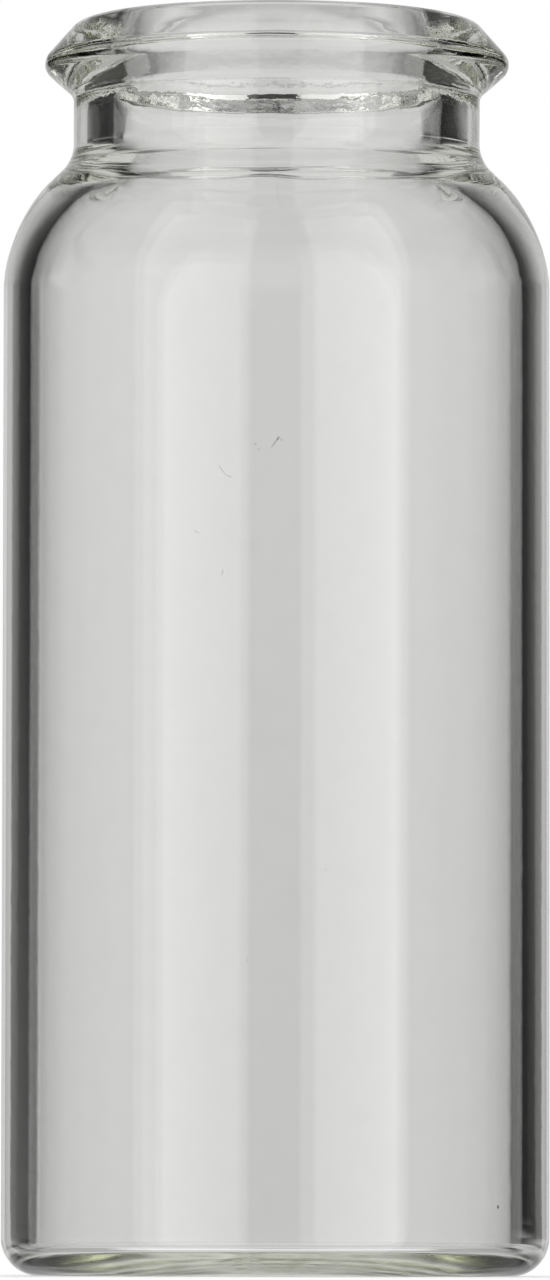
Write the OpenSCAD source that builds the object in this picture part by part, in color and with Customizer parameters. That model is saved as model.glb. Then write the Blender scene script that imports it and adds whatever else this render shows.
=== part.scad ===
// Crimp-neck glass sample vial.
// One blown piece of clear glass: a round body with a thin wall, a slightly pushed-up base,
// a round shoulder and a thick neck that ends in a double-bevelled crimp flange.
// Millimetres, +Z up. The origin is the middle of the ring that the vial stands on.

/* [Body] */
// Height from the standing ring to the rim
overall_h = 54; // [48:0.5:75]
// Outer diameter of the body
body_d = 23.5; // [22.5:0.1:26]
// Thickness of the body's side wall
wall_t = 1.15; // [0.8:0.05:1.6]

/* [Base] */
// Thickness of the base at its edge
base_t = 1.2; // [0.8:0.05:1.6]
// Radius of the rounded outer heel
heel_r = 1.65; // [1:0.05:2.2]
// Radius of the fillet between the side wall and the floor inside
floor_fillet_r = 0.35; // [0.3:0.05:2]
// Radius of the flat ring's inner edge, where the pushed-up underside begins
foot_ring_r = 7.4; // [6.5:0.1:9.4]
// Rise of the underside above the standing ring, on the axis
push_up = 0.5; // [0.1:0.05:0.6]
// Rise of the floor inside from its edge to the axis
floor_crown = 0.1; // [0.05:0.05:0.5]

/* [Shoulder] */
// Angle of the shoulder's straight stretch from the axis
shoulder_angle = 45.8; // [42:0.2:52]
// Radius of the round between the body and the shoulder, outside
shoulder_r = 6.2; // [4:0.1:7]
// Thickness of the glass across the shoulder's straight stretch
shoulder_t = 1.35; // [1.2:0.05:2]
// Radius of the round between the body and the shoulder, inside
shoulder_inner_r = 5; // [3:0.1:7]

/* [Neck] */
// Outer diameter of the neck
neck_d = 17.5; // [17:0.1:18]
// Length of the neck between the flange and the shoulder, before rounding
neck_len = 2.8; // [2:0.1:5]
// Diameter of the bore through the neck and the flange
bore_d = 14.2; // [13:0.1:14.6]
// Radius of the fillet between the neck and the shoulder
neck_root_r = 1.3; // [0.6:0.1:2]
// Radius of the round at the lower end of the bore
bore_root_r = 1; // [0.4:0.1:1.6]

/* [Crimp flange] */
// Outer diameter of the flange, over its rounded edge
flange_d = 20; // [19.4:0.1:20.4]
// Height of the rim above the middle of the flange's rounded edge
flange_edge_drop = 1.85; // [1.5:0.05:2.2]
// Angle of the bevel above the flange's edge, from the axis
top_bevel_angle = 41.4; // [36:0.2:44]
// Angle of the bevel under the flange's edge, from the axis
under_bevel_angle = 48.8; // [44:0.2:54]
// Radius of the flange's rounded edge
flange_edge_r = 0.6; // [0.3:0.05:0.7]
// Radius of the round between the upper bevel and the rim's flat face
rim_corner_r = 0.9; // [0.4:0.1:1.2]
// Radius of the round between the rim's flat face and the bore
mouth_r = 0.4; // [0.2:0.05:0.8]
// Radius of the fillet between the lower bevel and the neck
flange_root_r = 0.6; // [0.3:0.05:1]

/* [Hidden] */

// Angle that one straight piece of a rounded corner turns through
arc_step = 5;
// Straight pieces in each shallow dome of the base
dome_steps = 8;
round_fn = 144;
glass_colour = [0.80, 0.84, 0.79, 0.45];

body_r = body_d / 2;
inner_r = body_r - wall_t;
neck_r = neck_d / 2;
bore_r = bore_d / 2;

// The flange's two bevels are tangent to its rounded edge and would meet at this sharp corner
bevels = top_bevel_angle + under_bevel_angle;
flange_edge_z = overall_h - flange_edge_drop;
flange_tip_r = flange_d / 2 - flange_edge_r
    + flange_edge_r * (sin(top_bevel_angle) + sin(under_bevel_angle)) / sin(bevels);
flange_tip_z = flange_edge_z
    + flange_edge_r * (cos(under_bevel_angle) - cos(top_bevel_angle)) / sin(bevels);
rim_r = flange_tip_r - (overall_h - flange_tip_z) * tan(top_bevel_angle);

// Heights of the sharp corners down the outside
neck_top_z = flange_tip_z - (flange_tip_r - neck_r) / tan(under_bevel_angle);
neck_root_z = neck_top_z - neck_len;
shoulder_z = neck_root_z - (body_r - neck_r) / tan(shoulder_angle);

// The inside of the shoulder runs parallel to the outside, shoulder_t away from it
bore_root_z = neck_root_z
    - (shoulder_t - (neck_r - bore_r) * cos(shoulder_angle)) / sin(shoulder_angle);
inner_shoulder_z = bore_root_z - (inner_r - bore_r) / tan(shoulder_angle);

// Corners [radius from the axis, height, rounding radius] from the foot ring to the floor inside
WALL_CORNERS = [
    [foot_ring_r, 0, 0],
    [body_r, 0, heel_r],
    [body_r, shoulder_z, shoulder_r],
    [neck_r, neck_root_z, neck_root_r],
    [neck_r, neck_top_z, flange_root_r],
    [flange_tip_r, flange_tip_z, flange_edge_r],
    [rim_r, overall_h, rim_corner_r],
    [bore_r, overall_h, mouth_r],
    [bore_r, bore_root_z, bore_root_r],
    [inner_r, inner_shoulder_z, shoulder_inner_r],
    [inner_r, base_t, floor_fillet_r],
    [foot_ring_r, base_t, 0],
];

function place(corner) = [corner[0], corner[1]];

function heading(from, to) = atan2(to[1] - from[1], to[0] - from[0]);

// Turn from the leg that arrives at corner i to the leg that leaves it, -180 to 180
function turn_at(path, i) =
    let (turn = heading(path[i], path[i + 1]) - heading(path[i - 1], path[i]))
    turn - 360 * round(turn / 360);

// Length that the rounding of corner i takes from each of its legs
function reach(path, i) =
    i == 0 || i == len(path) - 1 ? 0 : path[i][2] * tan(abs(turn_at(path, i)) / 2);

// Share of the wanted rounding that the leg from corner i to the next one has room for
function room(path, i) =
    min(1, norm(place(path[i + 1]) - place(path[i])) / max(reach(path, i) + reach(path, i + 1), wall_t / 100));

// Points of corner i: the arc tangent to both its legs
function rounded_corner(path, i) =
    let (
        turn = turn_at(path, i),
        r = path[i][2] * min(room(path, i - 1), room(path, i)),
        arrive = heading(path[i - 1], path[i]),
        side = sign(turn),
        start = place(path[i]) - r * tan(abs(turn) / 2) * [cos(arrive), sin(arrive)],
        centre = start + side * r * [-sin(arrive), cos(arrive)],
        steps = ceil(abs(turn) / arc_step)
    )
    [for (k = [0 : steps])
        let (a = arrive - side * 90 + turn * k / steps)
        centre + r * [cos(a), sin(a)]];

// The whole path, with the corners between its two ends rounded
function rounded_path(path) = [
    place(path[0]),
    for (i = [1 : len(path) - 2])
        for (point = path[i][2] > 0 ? rounded_corner(path, i) : [place(path[i])]) point,
    place(path[len(path) - 1]),
];

// A shallow dome's profile from the axis outwards: part of a circle through its rise and its edge
function dome(edge_r, edge_z, rise) =
    let (
        sphere_r = (edge_r * edge_r + rise * rise) / (2 * rise),
        spread = asin(edge_r / sphere_r)
    )
    [for (k = [0 : dome_steps - 1])
        let (a = spread * k / dome_steps)
        [sphere_r * sin(a), edge_z + rise - sphere_r * (1 - cos(a))]];

function reversed(points) = [for (i = [len(points) - 1 : -1 : 0]) points[i]];

// Half of the glass as cut through the axis
module glass_section() {
    polygon(concat(
        dome(foot_ring_r, 0, push_up),
        rounded_path(WALL_CORNERS),
        reversed(dome(foot_ring_r, base_t, floor_crown))
    ));
}

module vial() {
    color(glass_colour)
        rotate_extrude($fn = round_fn)
            glass_section();
}

vial();
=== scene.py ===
"""A crimp-neck glass sample vial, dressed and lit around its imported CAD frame."""
import logging
import math
from dataclasses import dataclass
from enum import Enum
from typing import Any, Optional, Union

import bmesh
import bpy
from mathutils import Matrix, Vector, noise


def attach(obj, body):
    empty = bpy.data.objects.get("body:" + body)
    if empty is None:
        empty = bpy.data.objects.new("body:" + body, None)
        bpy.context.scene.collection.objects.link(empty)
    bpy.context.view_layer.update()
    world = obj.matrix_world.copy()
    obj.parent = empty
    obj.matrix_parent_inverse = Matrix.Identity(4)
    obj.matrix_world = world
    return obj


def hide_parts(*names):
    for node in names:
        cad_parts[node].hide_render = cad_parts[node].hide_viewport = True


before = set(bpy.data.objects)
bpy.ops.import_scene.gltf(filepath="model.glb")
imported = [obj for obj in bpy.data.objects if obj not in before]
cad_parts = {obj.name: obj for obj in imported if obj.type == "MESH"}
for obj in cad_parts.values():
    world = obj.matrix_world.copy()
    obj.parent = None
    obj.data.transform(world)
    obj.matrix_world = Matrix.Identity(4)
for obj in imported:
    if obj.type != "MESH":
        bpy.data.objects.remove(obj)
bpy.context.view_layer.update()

MM = 0.001
MAX_BOUNCES = 32
GLOSSY_BOUNCES = 24
log = logging.getLogger("vial")

Number = Union[float, int]
Pair = tuple[float, float]
Colour = tuple[float, float, float]
Socket = bpy.types.NodeSocket


# ---------------------------------------------------------------- shader building


class Shader:
    """Builds the nodes of one material or world."""

    def __init__(self, owner: Union[bpy.types.Material, bpy.types.World]) -> None:
        """Empties the owner's node tree.

        Args:
            owner: a material or a world.
        """
        owner.use_nodes = True
        self.tree = owner.node_tree
        self.tree.nodes.clear()

    def node(self, kind: str, settings: Optional[dict[str, str]] = None, **inputs: Any) -> bpy.types.Node:
        """Adds one node.

        Args:
            kind: the node's type, such as "ShaderNodeTexNoise".
            settings: properties that are set before the inputs.
            inputs: values or sockets, by input name with _ for a space.

        Returns:
            The new node.
        """
        made = self.tree.nodes.new(kind)
        for name, value in (settings or {}).items():
            setattr(made, name, value)
        for name, value in inputs.items():
            self.feed(made.inputs[name.replace("_", " ")], value)
        return made

    def feed(self, target: Socket, value: Any) -> None:
        """Links a socket, or sets a plain value, on an input.

        Args:
            target: the input socket.
            value: a Term, an output socket or a plain value.
        """
        if isinstance(value, Term):
            value = value.socket
        if isinstance(value, Socket):
            self.tree.links.new(value, target)
        else:
            target.default_value = value

    def maths(self, operation: str, *values: Any) -> "Term":
        """Adds one Math node.

        Args:
            operation: the Math node's operation.
            values: its inputs, in order.

        Returns:
            The result.
        """
        made = self.node("ShaderNodeMath", {"operation": operation})
        for target, value in zip(made.inputs, values):
            self.feed(target, value)
        return Term(self, made.outputs[0])

    def ramp(self, value: Any, low: Number, high: Number, to_low: Number = 0.0,
             to_high: Number = 1.0) -> "Term":
        """Maps a value smoothly from one range to another, clamped.

        Args:
            value: what is mapped.
            low: the value that becomes to_low.
            high: the value that becomes to_high.
            to_low: the result at low.
            to_high: the result at high.

        Returns:
            The mapped value.
        """
        made = self.node("ShaderNodeMapRange", {"interpolation_type": "SMOOTHSTEP"})
        for name, item in (("Value", value), ("From Min", low), ("From Max", high),
                           ("To Min", to_low), ("To Max", to_high)):
            self.feed(made.inputs[name], item)
        return Term(self, made.outputs["Result"])

    def axes(self, vector: Socket) -> tuple["Term", "Term", "Term"]:
        """Splits a vector.

        Args:
            vector: the vector's socket.

        Returns:
            Its X, Y and Z.
        """
        made = self.node("ShaderNodeSeparateXYZ", Vector=vector)
        return tuple(Term(self, made.outputs[i]) for i in range(3))

    def term(self, socket: Socket) -> "Term":
        """Wraps an output socket for arithmetic."""
        return Term(self, socket)


@dataclass(frozen=True)
class Term:
    """A number in a node tree, with Python's own arithmetic."""

    shader: Shader
    socket: Socket

    def __add__(self, other: Any) -> "Term":
        """self + other"""
        return self.shader.maths("ADD", self, other)

    def __radd__(self, other: Any) -> "Term":
        """other + self"""
        return self.shader.maths("ADD", other, self)

    def __sub__(self, other: Any) -> "Term":
        """self - other"""
        return self.shader.maths("SUBTRACT", self, other)

    def __rsub__(self, other: Any) -> "Term":
        """other - self"""
        return self.shader.maths("SUBTRACT", other, self)

    def __mul__(self, other: Any) -> "Term":
        """self * other"""
        return self.shader.maths("MULTIPLY", self, other)

    def __truediv__(self, other: Any) -> "Term":
        """self / other"""
        return self.shader.maths("DIVIDE", self, other)


# ---------------------------------------------------------------- modelling helpers


def deselect() -> None:
    """Leaves edit mode with nothing selected."""
    if bpy.context.object is not None and bpy.context.object.mode == "EDIT":
        bpy.ops.object.mode_set(mode="OBJECT")
    bpy.ops.object.select_all(action="DESELECT")


@dataclass(frozen=True)
class Corner:
    """One corner of a lathed profile: its radius and height, its rounding radius and the arc's pieces."""

    r: float
    z: float
    round_r: float = 0.0
    pieces: int = 1


class Side(Enum):
    """Which face of the glass an unevenness lies on."""

    INSIDE = "inside"
    OUTSIDE = "outside"
    BOTH = "both"


@dataclass(frozen=True)
class Unevenness:
    """A slight waviness that blowing and moulding leave in the glass, in millimetres.

    The waves follow the axis: around counts them per turn, and along and across are their lengths up the
    axis and outwards from it. They fade out over fade at bottom and top. detail, increment and lacunarity
    are the octaves of the noise, and how each differs from the one before.
    """

    name: str
    depth: float
    bottom: float
    top: float
    around: float
    along: float
    across: float
    side: Side
    fade: float
    seed: float
    detail: int = 1
    increment: float = 0.6
    lacunarity: float = 2.0

    def height(self, place: Vector, split_r: float) -> float:
        """The height of the waves at one place.

        Args:
            place: the vertex, in millimetres.
            split_r: the radius that splits the inside of the glass from its outside.

        Returns:
            The height as a share of the depth, from -1 to 1.
        """
        radius = math.hypot(place.x, place.y)
        share = min(1.0, (place.z - self.bottom) / self.fade, (self.top - place.z) / self.fade)
        wrong_side = Side.OUTSIDE if radius < split_r else Side.INSIDE
        if share <= 0 or self.side is wrong_side:
            return 0.0
        turn = math.atan2(place.y, place.x)
        spread = self.around / (2 * math.pi)
        spot = Vector((spread * math.cos(turn) + self.seed, spread * math.sin(turn) + radius / self.across,
                       place.z / self.along + self.seed))
        wave = noise.fractal(spot, self.increment, self.lacunarity, self.detail)
        return share * max(-1.0, min(1.0, wave))


@dataclass
class Vial:
    """The one piece of glass, in millimetres and degrees.

    The sizes are the CAD source's, apart from the inside angle of the shoulder and the two root rounds of
    the neck, which are a little larger here. ring_gap is about how far apart the rings of vertices lie,
    neck_zone how far below the rim the neck's wall reaches, weld the distance that doubles merge over, and
    reach how near a vertex lies to the corner it belongs to.
    """

    overall_h: float = 54.0
    body_d: float = 23.5
    wall_t: float = 1.15
    base_t: float = 1.2
    heel_r: float = 1.65
    floor_fillet_r: float = 0.35
    foot_ring_r: float = 7.4
    push_up: float = 0.5
    floor_crown: float = 0.1
    shoulder_angle: float = 45.8
    shoulder_r: float = 6.2
    shoulder_t: float = 1.35
    shoulder_inner_r: float = 5.0
    shoulder_inner_angle: float = 48.8
    neck_d: float = 17.5
    neck_len: float = 2.8
    bore_d: float = 14.2
    neck_root_r: float = 1.6
    bore_root_r: float = 1.6
    flange_d: float = 20.0
    flange_edge_drop: float = 1.85
    top_bevel_angle: float = 41.4
    under_bevel_angle: float = 48.8
    flange_edge_r: float = 0.6
    rim_corner_r: float = 0.9
    mouth_r: float = 0.4
    flange_root_r: float = 0.6
    lathe_steps: int = 256
    dome_steps: int = 6
    ring_gap: float = 0.6
    neck_zone: float = 7.0
    weld: float = 0.0004
    reach: float = 0.001
    # name, depth, bottom, top, around, along, across, side, fade, seed, detail
    waves: tuple[Unevenness, ...] = (
        Unevenness("bore", 0.008, 47.6, 52.2, 36, 2.2, 3.0, Side.INSIDE, 1.0, 3.1),
        Unevenness("flange", 0.010, 49.8, 53.2, 70, 1.0, 1.0, Side.OUTSIDE, 0.5, 7.7, 2),
        Unevenness("neck_root", 0.008, 44.5, 50.0, 34, 1.6, 3.0, Side.BOTH, 1.2, 1.3),
        Unevenness("base", 0.012, -2.0, 2.4, 18, 9.0, 12.0, Side.BOTH, 1.6, 5.9),
    )

    def corners(self) -> list[Corner]:
        """The half section's corners, from the axis below to the axis inside.

        Returns:
            Corners in metres, each with its rounding radius.
        """
        top = math.radians(self.top_bevel_angle)
        under = math.radians(self.under_bevel_angle)
        lean = math.radians(self.shoulder_angle)
        inner_lean = math.radians(self.shoulder_inner_angle)
        body_r = self.body_d / 2
        inner_r = body_r - self.wall_t
        neck_r, bore_r = self.neck_d / 2, self.bore_d / 2
        share = self.flange_edge_r / math.sin(top + under)
        tip_r = self.flange_d / 2 - self.flange_edge_r + share * (math.sin(top) + math.sin(under))
        tip_z = self.overall_h - self.flange_edge_drop + share * (math.cos(under) - math.cos(top))
        rim_r = tip_r - (self.overall_h - tip_z) * math.tan(top)
        neck_top = tip_z - (tip_r - neck_r) / math.tan(under)
        neck_root = neck_top - self.neck_len
        shoulder = neck_root - (body_r - neck_r) / math.tan(lean)
        bore_root = neck_root - (self.shoulder_t - (neck_r - bore_r) * math.cos(lean)) / math.sin(lean)
        inner_shoulder = bore_root - (inner_r - bore_r) / math.tan(inner_lean)
        wall = [
            Corner(body_r, 0, self.heel_r, 16),
            Corner(body_r, shoulder, self.shoulder_r, 28),
            Corner(neck_r, neck_root, self.neck_root_r, 12),
            Corner(neck_r, neck_top, self.flange_root_r, 10),
            Corner(tip_r, tip_z, self.flange_edge_r, 14),
            Corner(rim_r, self.overall_h, self.rim_corner_r, 12),
            Corner(bore_r, self.overall_h, self.mouth_r, 14),
            Corner(bore_r, bore_root, self.bore_root_r, 10),
            Corner(inner_r, inner_shoulder, self.shoulder_inner_r, 28),
            Corner(inner_r, self.base_t, self.floor_fillet_r, 16),
        ]
        under_dome = self.dome(0.0, self.push_up)
        floor_dome = self.dome(self.base_t, self.floor_crown)
        every = under_dome + wall + floor_dome[::-1]
        return [Corner(c.r * MM, c.z * MM, c.round_r * MM, c.pieces) for c in every]

    def dome(self, edge_z: float, rise: float) -> list[Corner]:
        """A shallow dome from the axis out to the foot ring.

        Args:
            edge_z: height of its edge.
            rise: height of its top above its edge.

        Returns:
            Its corners, unrounded, from the axis outwards.
        """
        edge_r = self.foot_ring_r
        sphere_r = (edge_r ** 2 + rise ** 2) / (2 * rise)
        spread = math.asin(edge_r / sphere_r)
        angles = [spread * k / self.dome_steps for k in range(self.dome_steps + 1)]
        return [Corner(sphere_r * math.sin(a), edge_z + rise - sphere_r * (1 - math.cos(a))) for a in angles]

    def build(self) -> bpy.types.Object:
        """Models the vial: draws the half section, rounds its corners and spins it.

        Returns:
            The finished mesh object.
        """
        deselect()
        corners = self.corners()
        bpy.ops.mesh.primitive_plane_add(size=MM, location=(0, 0, 0))
        piece = bpy.context.object
        piece.name = "vial_glass"
        bpy.ops.object.mode_set(mode="EDIT")
        bpy.ops.mesh.merge(type="CENTER")
        bpy.ops.transform.translate(value=(corners[0].r, 0, corners[0].z))
        for here, there in zip(corners, corners[1:]):
            step = (there.r - here.r, 0, there.z - here.z)
            bpy.ops.mesh.extrude_region_move(TRANSFORM_OT_translate={"value": step})
        self.round_corners(piece, corners)
        self.divide_runs(piece)
        bpy.ops.mesh.select_all(action="SELECT")
        bpy.ops.mesh.spin(steps=self.lathe_steps, angle=2 * math.pi, center=(0, 0, 0), axis=(0, 0, 1))
        bpy.ops.mesh.select_all(action="SELECT")
        bpy.ops.mesh.remove_doubles(threshold=self.weld * MM)
        bpy.ops.mesh.normals_make_consistent(inside=False)
        bpy.ops.object.mode_set(mode="OBJECT")
        bpy.ops.object.shade_smooth()
        for wave in self.waves:
            self.make_uneven(piece, wave)
        even = piece.modifiers.new("even_normals", "WEIGHTED_NORMAL")
        even.mode = "FACE_AREA"
        bpy.ops.object.modifier_apply(modifier=even.name)
        return piece

    def split_r(self, z: float) -> float:
        """The radius between the inside and the outside of the glass at a height, in millimetres."""
        if z > self.overall_h - self.neck_zone:
            return (self.bore_d + self.neck_d) / 4
        return (self.body_d - self.wall_t) / 2

    def make_uneven(self, piece: bpy.types.Object, wave: Unevenness) -> None:
        """Displaces the glass by one unevenness, outwards and inwards in turn.

        Args:
            piece: the mesh object.
            wave: the unevenness.
        """
        places = [vertex.co / MM for vertex in piece.data.vertices]
        heights = [wave.height(place, self.split_r(place.z)) for place in places]
        for way in (1, -1):
            group = piece.vertex_groups.new(name=f"{wave.name}_{way}")
            for index, height in enumerate(heights):
                if height * way > 0:
                    group.add([index], height * way, "REPLACE")
            shift = piece.modifiers.new(group.name, "DISPLACE")
            shift.vertex_group = group.name
            shift.strength = way * wave.depth * MM
            shift.mid_level = 0.0
            bpy.ops.object.modifier_apply(modifier=shift.name)
        piece.vertex_groups.clear()

    def divide_runs(self, piece: bpy.types.Object) -> None:
        """Cuts the profile's long straight runs into short steps.

        Args:
            piece: the profile, in edit mode.
        """
        mesh = bmesh.from_edit_mesh(piece.data)
        for steps in sorted({self.steps_in(edge) for edge in mesh.edges}):
            if steps < 2:
                continue
            mesh = bmesh.from_edit_mesh(piece.data)
            for edge in mesh.edges:
                edge.select = self.steps_in(edge) == steps
            mesh.select_flush_mode()
            bmesh.update_edit_mesh(piece.data)
            bpy.ops.mesh.subdivide(number_cuts=steps - 1)

    def steps_in(self, edge: bmesh.types.BMEdge) -> int:
        """How many steps an edge is to be cut into."""
        return round(edge.calc_length() / (self.ring_gap * MM))

    def round_corners(self, piece: bpy.types.Object, corners: list[Corner]) -> None:
        """Bevels each corner that has a rounding radius into its tangent arc.

        Args:
            piece: the profile, in edit mode.
            corners: the profile's corners, in order.
        """
        for before, here, after in zip(corners, corners[1:], corners[2:]):
            if not here.round_r:
                continue
            arrive = math.atan2(here.z - before.z, here.r - before.r)
            leave = math.atan2(after.z - here.z, after.r - here.r)
            turn = abs(math.remainder(leave - arrive, 2 * math.pi))
            mesh = bmesh.from_edit_mesh(piece.data)
            place = Vector((here.r, 0, here.z))
            for vertex in mesh.verts:
                vertex.select = (vertex.co - place).length < self.reach * MM
            mesh.select_flush_mode()
            bmesh.update_edit_mesh(piece.data)
            bpy.ops.mesh.bevel(offset=here.round_r * math.tan(turn / 2), offset_type="OFFSET",
                               segments=here.pieces, profile=0.5, affect="VERTICES", clamp_overlap=False)


# ---------------------------------------------------------------- glass


@dataclass(frozen=True)
class Mark:
    """A tiny speck or hairline on the front of the body, in millimetres.

    Its middle is x to the right and z up, lean turns it from upright in degrees, right positive, and
    strength is how much light it takes away. core is the share of it that has the full strength.
    """

    x: float
    z: float
    half_length: float
    half_width: float
    lean: float = 0.0
    strength: float = 0.4
    body_r: float = 11.75
    half_depth: float = 0.5
    core: float = 0.7

    def mask(self, shader: Shader, place: Socket) -> Term:
        """Where the mark is.

        Args:
            shader: the glass's shader.
            place: Object coordinates, in millimetres.

        Returns:
            The mark's strength on its own patch of glass, and 0 elsewhere.
        """
        y = -math.sqrt(self.body_r ** 2 - self.x ** 2)
        local = shader.node("ShaderNodeMapping", {"vector_type": "TEXTURE"}, Vector=place,
                            Location=(self.x, y, self.z), Rotation=(0, math.radians(self.lean), 0),
                            Scale=(self.half_width, self.half_depth, self.half_length))
        reach = shader.node("ShaderNodeVectorMath", {"operation": "LENGTH"}, Vector=local.outputs[0])
        return shader.ramp(reach.outputs["Value"], self.core, 1.0, self.strength, 0.0)


@dataclass(frozen=True)
class Grain:
    """A noise pattern: its scale per millimetre and its detail."""

    scale: float
    detail: float

    def pattern(self, shader: Shader, place: Socket) -> Term:
        """The pattern over the glass.

        Args:
            shader: the glass's shader.
            place: Object coordinates, in millimetres.

        Returns:
            Its value, which lies around 0.5.
        """
        made = shader.node("ShaderNodeTexNoise", Vector=place, Scale=self.scale, Detail=self.detail)
        return shader.term(made.outputs["Fac"])


@dataclass(frozen=True)
class GlassFinish:
    """Clear soda-lime glass with a faint olive tint that deepens with thickness.

    tint and density set how much light each metre of it takes. Heights and depths are in millimetres,
    levels are the part of a pattern's range that is spread from 0 to 1, and polished and scuffed are
    roughnesses.
    """

    ior: float = 1.52
    tint: Colour = (0.984, 0.99, 0.94)
    density: float = 100.0
    clear: Colour = (1.0, 1.0, 1.0)
    cloudy: Colour = (0.985, 0.985, 0.975)
    soiled: Colour = (0.10, 0.10, 0.09)
    clouds: Grain = Grain(0.7, 3.0)
    cloud_levels: Pair = (0.45, 0.75)
    crackle: Grain = Grain(2.4, 2.0)
    crackle_bottom: float = 49.9
    crackle_top: float = 52.4
    crackle_fade: float = 0.5
    crackle_depth: float = 0.007
    ripple: Grain = Grain(1.3, 1.0)
    ripple_depth: float = 0.0010
    scuffs: Grain = Grain(1.1, 2.0)
    scuff_levels: Pair = (0.3, 0.7)
    foot_top: float = 0.8
    foot_fade: float = 0.15
    foot_polished: float = 0.05
    foot_scuffed: float = 0.12
    # x, z, half_length, half_width, lean, strength
    marks: tuple[Mark, ...] = (
        Mark(9.4, 2.95, 0.09, 0.06, 0, 0.95),
        Mark(-1.2, 13.2, 0.05, 0.05),
        Mark(2.1, 17.0, 0.05, 0.04),
        Mark(-2.28, 33.77, 0.30, 0.035, -35),
        Mark(-2.00, 33.50, 0.18, 0.035, -66),
        Mark(-0.05, 34.90, 0.32, 0.04, 37, 0.55),
        Mark(0.08, 35.08, 0.12, 0.06, 37, 0.45),
        Mark(0.22, 35.00, 0.08, 0.05, -30),
        Mark(-0.87, 34.83, 0.05, 0.05),
        Mark(-0.74, 34.60, 0.04, 0.06, 0, 0.3),
        Mark(-3.35, 31.18, 0.14, 0.035, -63, 0.3),
        Mark(-2.25, 29.45, 0.17, 0.035, 13, 0.3),
    )

    def build(self) -> bpy.types.Material:
        """Makes the material.

        Returns:
            The glass material.
        """
        material = bpy.data.materials.new("olive_clear_glass")
        shader = Shader(material)
        where = shader.node("ShaderNodeTexCoord").outputs["Object"]
        scaled = shader.node("ShaderNodeVectorMath", {"operation": "SCALE"}, Vector=where, Scale=1 / MM)
        place = scaled.outputs[0]
        body = shader.node("ShaderNodeBsdfPrincipled", Roughness=self.roughness(shader, place),
                           IOR=self.ior, Transmission_Weight=1.0, Base_Color=self.colour(shader, place),
                           Normal=self.skin(shader, place))
        depth = shader.node("ShaderNodeVolumeAbsorption", Color=(*self.tint, 1), Density=self.density)
        out = shader.node("ShaderNodeOutputMaterial")
        shader.feed(out.inputs["Surface"], body.outputs[0])
        shader.feed(out.inputs["Volume"], depth.outputs[0])
        return material

    def colour(self, shader: Shader, place: Socket) -> Socket:
        """The glass's surface colour: clear, faintly cloudy in patches, with specks and hairlines.

        Args:
            shader: the glass's shader.
            place: Object coordinates, in millimetres.

        Returns:
            The colour's socket.
        """
        cloud = shader.ramp(self.clouds.pattern(shader, place), *self.cloud_levels)
        dull = self.mix(shader, cloud, self.clear, self.cloudy)
        soil = sum((mark.mask(shader, place) for mark in self.marks), 0.0)
        return self.mix(shader, soil, dull, self.soiled)

    def roughness(self, shader: Shader, place: Socket) -> Term:
        """The glass's roughness: none, but for the scuffed underside.

        Args:
            shader: the glass's shader.
            place: Object coordinates, in millimetres.

        Returns:
            The roughness.
        """
        z = shader.axes(place)[2]
        worn = shader.ramp(self.scuffs.pattern(shader, place), *self.scuff_levels,
                           self.foot_polished, self.foot_scuffed)
        return worn * shader.ramp(z, self.foot_top, self.foot_top - self.foot_fade)

    @staticmethod
    def mix(shader: Shader, share: Term, first: Union[Colour, Socket], second: Colour) -> Socket:
        """Mixes two colours.

        Args:
            shader: the glass's shader.
            share: the second colour's share.
            first: the colour at 0, as a socket or as red, green and blue.
            second: the colour at 1, as red, green and blue.

        Returns:
            The mixed colour's socket.
        """
        made = shader.node("ShaderNodeMix", {"data_type": "RGBA"})
        shader.feed(made.inputs["Factor"], share)
        for target, value in ((made.inputs["A"], first), (made.inputs["B"], second)):
            shader.feed(target, (*value, 1) if isinstance(value, tuple) else value)
        return made.outputs["Result"]

    def skin(self, shader: Shader, place: Socket) -> Socket:
        """The surface's small relief: the flange's chilled crackle, and a faint ripple elsewhere.

        Args:
            shader: the glass's shader.
            place: Object coordinates, in millimetres.

        Returns:
            The normal's socket.
        """
        z = shader.axes(place)[2]
        band = shader.ramp(z, self.crackle_bottom, self.crackle_bottom + self.crackle_fade)
        band = band * shader.ramp(z, self.crackle_top, self.crackle_top - self.crackle_fade)
        relief = self.crackle.pattern(shader, place) * band * self.crackle_depth
        relief = relief + self.ripple.pattern(shader, place) * self.ripple_depth
        bump = shader.node("ShaderNodeBump", Strength=1.0, Distance=MM, Height=relief)
        return bump.outputs[0]


# ---------------------------------------------------------------- studio


@dataclass(frozen=True)
class Panel:
    """A lit area of the studio.

    Its turns are azimuths from straight behind the vial, right positive, and its rises are heights above
    the horizon, all in degrees. Glow and soft are for its left and right side, and rise_soft is for its
    lower and upper edge.
    """

    name: str
    turns: Pair
    rises: Pair
    glow: Pair
    soft: Pair
    rise_soft: float

    def light(self, shader: Shader, azimuth: Term, rise: Term) -> Term:
        """The panel's brightness in each direction.

        Args:
            shader: the world's shader.
            azimuth: the direction's azimuth, in degrees.
            rise: the direction's height above the horizon, in degrees.

        Returns:
            The brightness.
        """
        (left, right), (bottom, top) = self.turns, self.rises
        left_soft, right_soft = self.soft
        across = shader.ramp(azimuth, left - left_soft, left + left_soft)
        across = across * shader.ramp(azimuth, right + right_soft, right - right_soft)
        upward = shader.ramp(rise, bottom - self.rise_soft, bottom + self.rise_soft)
        upward = upward * shader.ramp(rise, top + self.rise_soft, top - self.rise_soft)
        return across * upward * shader.ramp(azimuth, left, right, *self.glow)


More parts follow.
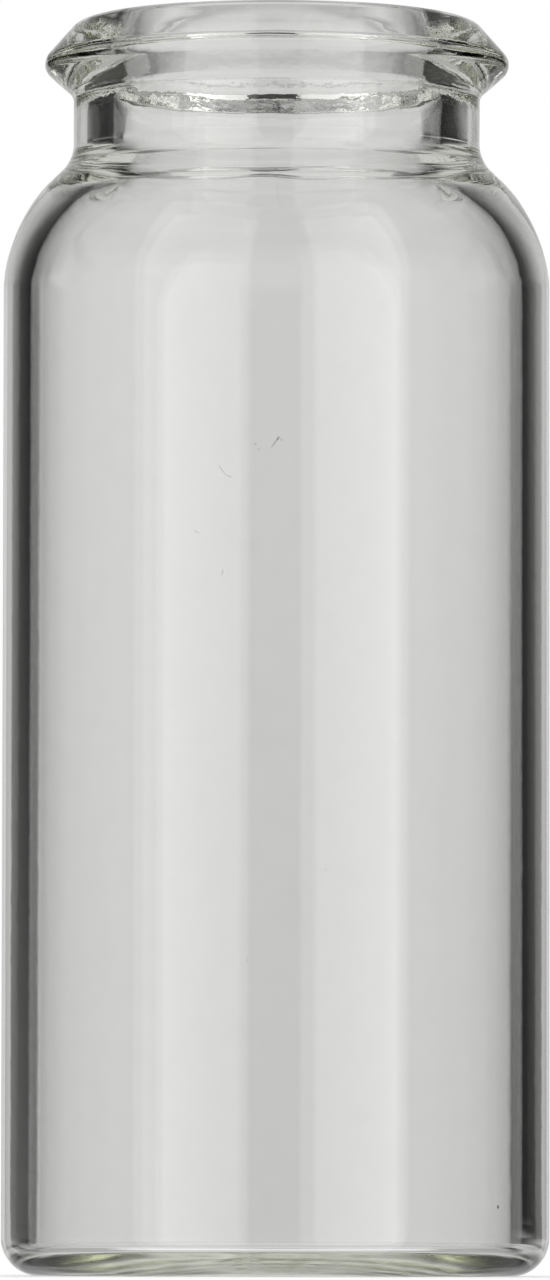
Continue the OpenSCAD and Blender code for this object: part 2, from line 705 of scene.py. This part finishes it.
@dataclass(frozen=True)
class SoftBox:
    """A flat soft box: the azimuth it stands at, its lean, and its edges as slopes seen from the vial.

    Directions are divided by their depth towards the box, which is never taken as less than nearest.
    """

    name: str
    azimuth: float
    lean: float
    sides: Pair
    ends: Pair
    glow: Pair
    soft: float = 0.03
    nearest: float = 0.001

    def light(self, shader: Shader, way: tuple[Term, Term, Term]) -> Term:
        """The box's brightness in each direction.

        Args:
            shader: the world's shader.
            way: the direction's X, Y and Z.

        Returns:
            The brightness.
        """
        turn, lean = math.radians(self.azimuth), math.radians(self.lean)
        x, y, z = way
        ahead = x * math.sin(turn) + y * math.cos(turn)
        aside = x * math.cos(turn) - y * math.sin(turn)
        depth = ahead * math.cos(lean) + z * math.sin(lean)
        height = z * math.cos(lean) - ahead * math.sin(lean)
        depth = shader.maths("MAXIMUM", depth, self.nearest)
        across = self.between(shader, aside / depth, self.sides)
        upward = self.between(shader, height / depth, self.ends)
        return across * upward * shader.ramp(aside / depth, *self.sides, *self.glow)

    def between(self, shader: Shader, slope: Term, edges: Pair) -> Term:
        """1 between the two edges and 0 beyond them.

        Args:
            shader: the world's shader.
            slope: the direction's slope from the middle of the box.
            edges: the lower and the upper edge's slope.

        Returns:
            The share.
        """
        low, high = edges
        return (shader.ramp(slope, low - self.soft, low + self.soft)
                * shader.ramp(slope, high + self.soft, high - self.soft))


@dataclass(frozen=True)
class Studio:
    """A pale floor, and a world that holds the backdrop, soft boxes and walls as the glass sees them.

    floor_shade is how much light the floor throws back, floor_glow what the camera sees on top of that,
    and flank the light from where no panel or box is. A fitting program found and rounded flank and the
    numbers of panels and boxes, apart from the right box's left glow. The floor's numbers and bright_floor
    were chosen.
    """

    floor_side: float = 3.0
    floor_shade: float = 0.80
    floor_glow: float = 0.25
    flank: float = 0.02
    # name, turns, rises, glow, soft, rise_soft
    panels: tuple[Panel, ...] = (
        Panel("backdrop", (-20.5, 18), (-8, 5.5), (0.60, 0.56), (1.5, 1.5), 6),
        Panel("tall_backdrop", (-21, 24.5), (4.5, 38.5), (0.65, 0.61), (12, 15.5), 6),
        Panel("bench_edge", (-22.5, 22.5), (-38.5, -10.5), (0.74, 0.67), (14, 14), 14),
        Panel("bench", (-98, 95), (-84, -48), (0.90, 0.80), (7, 6), 9),
        Panel("left_low_wall", (-62, -31), (-20, -5), (0.30, 0.45), (3, 1), 11),
        Panel("right_low_wall", (17, 52), (-17, -1), (0.25, 0.60), (2, 9), 1),
        Panel("left_wall", (-120, -69), (-36, 68), (0.50, 0.25), (13, 3), 2),
        Panel("right_wall", (73, 125), (-21, 68), (0.25, 0.30), (1, 10), 2),
        Panel("ceiling", (-111, 103), (37, 94), (0.10, 0.20), (14, 10), 1),
        Panel("lamp_above", (-185, 177), (62, 97), (0.45, 0.35), (1, 4), 8),
    )
    bright_floor: Panel = Panel("bright_floor", (-182, 182), (-95, -22), (0.42, 0.42), (1, 1), 3)
    # name, azimuth, lean, sides, ends, glow
    boxes: tuple[SoftBox, ...] = (
        SoftBox("left_soft_box", -143.5, 4, (-0.46, 0.47), (-2.1, 1.2), (0.80, 1.05)),
        SoftBox("right_soft_box", 143, 8, (-0.37, 0.37), (-1.5, 1.0), (1.40, 0.75)),
    )

    def build(self) -> None:
        """Makes the floor and the world."""
        self.floor()
        self.world()

    def floor(self) -> None:
        """Lays the pale floor under the vial."""
        deselect()
        bpy.ops.mesh.primitive_plane_add(size=self.floor_side, location=(0, 0, 0))
        ground = bpy.context.object
        ground.name = "floor"
        material = bpy.data.materials.new("pale_floor")
        shader = Shader(material)
        path = shader.node("ShaderNodeLightPath")
        shade = self.floor_shade
        matte = shader.node("ShaderNodeBsdfDiffuse", Color=(shade, shade, shade, 1))
        glow = shader.node("ShaderNodeEmission", Color=(1, 1, 1, 1),
                           Strength=shader.term(path.outputs["Is Camera Ray"]) * self.floor_glow)
        both = shader.node("ShaderNodeAddShader")
        shader.feed(both.inputs[0], matte.outputs[0])
        shader.feed(both.inputs[1], glow.outputs[0])
        seen = shader.maths("MAXIMUM", path.outputs["Is Glossy Ray"], path.outputs["Is Transmission Ray"])
        clear = shader.node("ShaderNodeBsdfTransparent", Color=(1, 1, 1, 1))
        mix = shader.node("ShaderNodeMixShader", Fac=seen)
        shader.feed(mix.inputs[1], both.outputs[0])
        shader.feed(mix.inputs[2], clear.outputs[0])
        out = shader.node("ShaderNodeOutputMaterial")
        shader.feed(out.inputs["Surface"], mix.outputs[0])
        ground.data.materials.append(material)

    def world(self) -> None:
        """Lights the scene by direction: white to the camera, plain to matte surfaces, a studio to glass."""
        world = bpy.data.worlds.new("studio")
        bpy.context.scene.world = world
        shader = Shader(world)
        x, y, z = shader.axes(shader.node("ShaderNodeTexCoord").outputs["Generated"])
        azimuth = shader.maths("DEGREES", shader.maths("ARCTAN2", x, y))
        rise = shader.maths("DEGREES", shader.maths("ARCSINE", z))
        light = sum((panel.light(shader, azimuth, rise) for panel in self.panels), self.flank)
        light = sum((box.light(shader, (x, y, z)) for box in self.boxes), light)
        light = shader.maths("MAXIMUM", light, self.bright_floor.light(shader, azimuth, rise))
        path = shader.node("ShaderNodeLightPath")
        plain = shader.maths("MAXIMUM", path.outputs["Is Camera Ray"], path.outputs["Is Diffuse Ray"])
        strength = plain + (1 - plain) * light
        sky = shader.node("ShaderNodeBackground", Color=(1, 1, 1, 1), Strength=strength)
        out = shader.node("ShaderNodeOutputWorld")
        shader.feed(out.inputs["Surface"], sky.outputs[0])


@dataclass(frozen=True)
class Viewpoint:
    """The camera: level with the base and tilted up a little.

    Lengths are in metres and angles in radians. The focal length is in pixels of a frame that is frame_px
    high.
    """

    distance: float = 438 * MM
    height: float = 1.0 * MM
    aside: float = -0.0422 * MM
    tilt: float = 0.060
    roll: float = 0.00155
    focal_px: float = 10203.5
    frame_px: int = 1280
    sensor: float = 36.0
    near_clip: float = 0.01
    far_clip: float = 10.0

    def build(self) -> None:
        """Makes the camera and sets it as the scene's."""
        data = bpy.data.cameras.new("viewpoint")
        data.sensor_width = self.sensor
        data.lens = self.focal_px / self.frame_px * self.sensor
        data.clip_start, data.clip_end = self.near_clip, self.far_clip
        eye = bpy.data.objects.new("viewpoint", data)
        bpy.context.scene.collection.objects.link(eye)
        eye.location = (self.aside, -self.distance, self.height)
        eye.rotation_euler = (math.pi / 2 + self.tilt, 0, 0)
        eye.rotation_euler.rotate_axis("Z", self.roll)
        bpy.context.scene.camera = eye


def main() -> None:
    """Builds the vial, its studio and its camera."""
    logging.basicConfig(level=logging.INFO, format="%(name)s: %(message)s")
    scene = bpy.context.scene
    scene.view_settings.view_transform = "Standard"
    scene.cycles.max_bounces = MAX_BOUNCES
    scene.cycles.transmission_bounces = MAX_BOUNCES
    scene.cycles.glossy_bounces = GLOSSY_BOUNCES
    Studio().build()
    Viewpoint().build()
    glass = Vial().build()
    glass.data.materials.clear()
    glass.data.materials.append(GlassFinish().build())
    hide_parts("vial")
    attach(glass, "root")
    log.info("%s: %d faces", glass.name, len(glass.data.polygons))


if __name__ == "__main__":
    main()
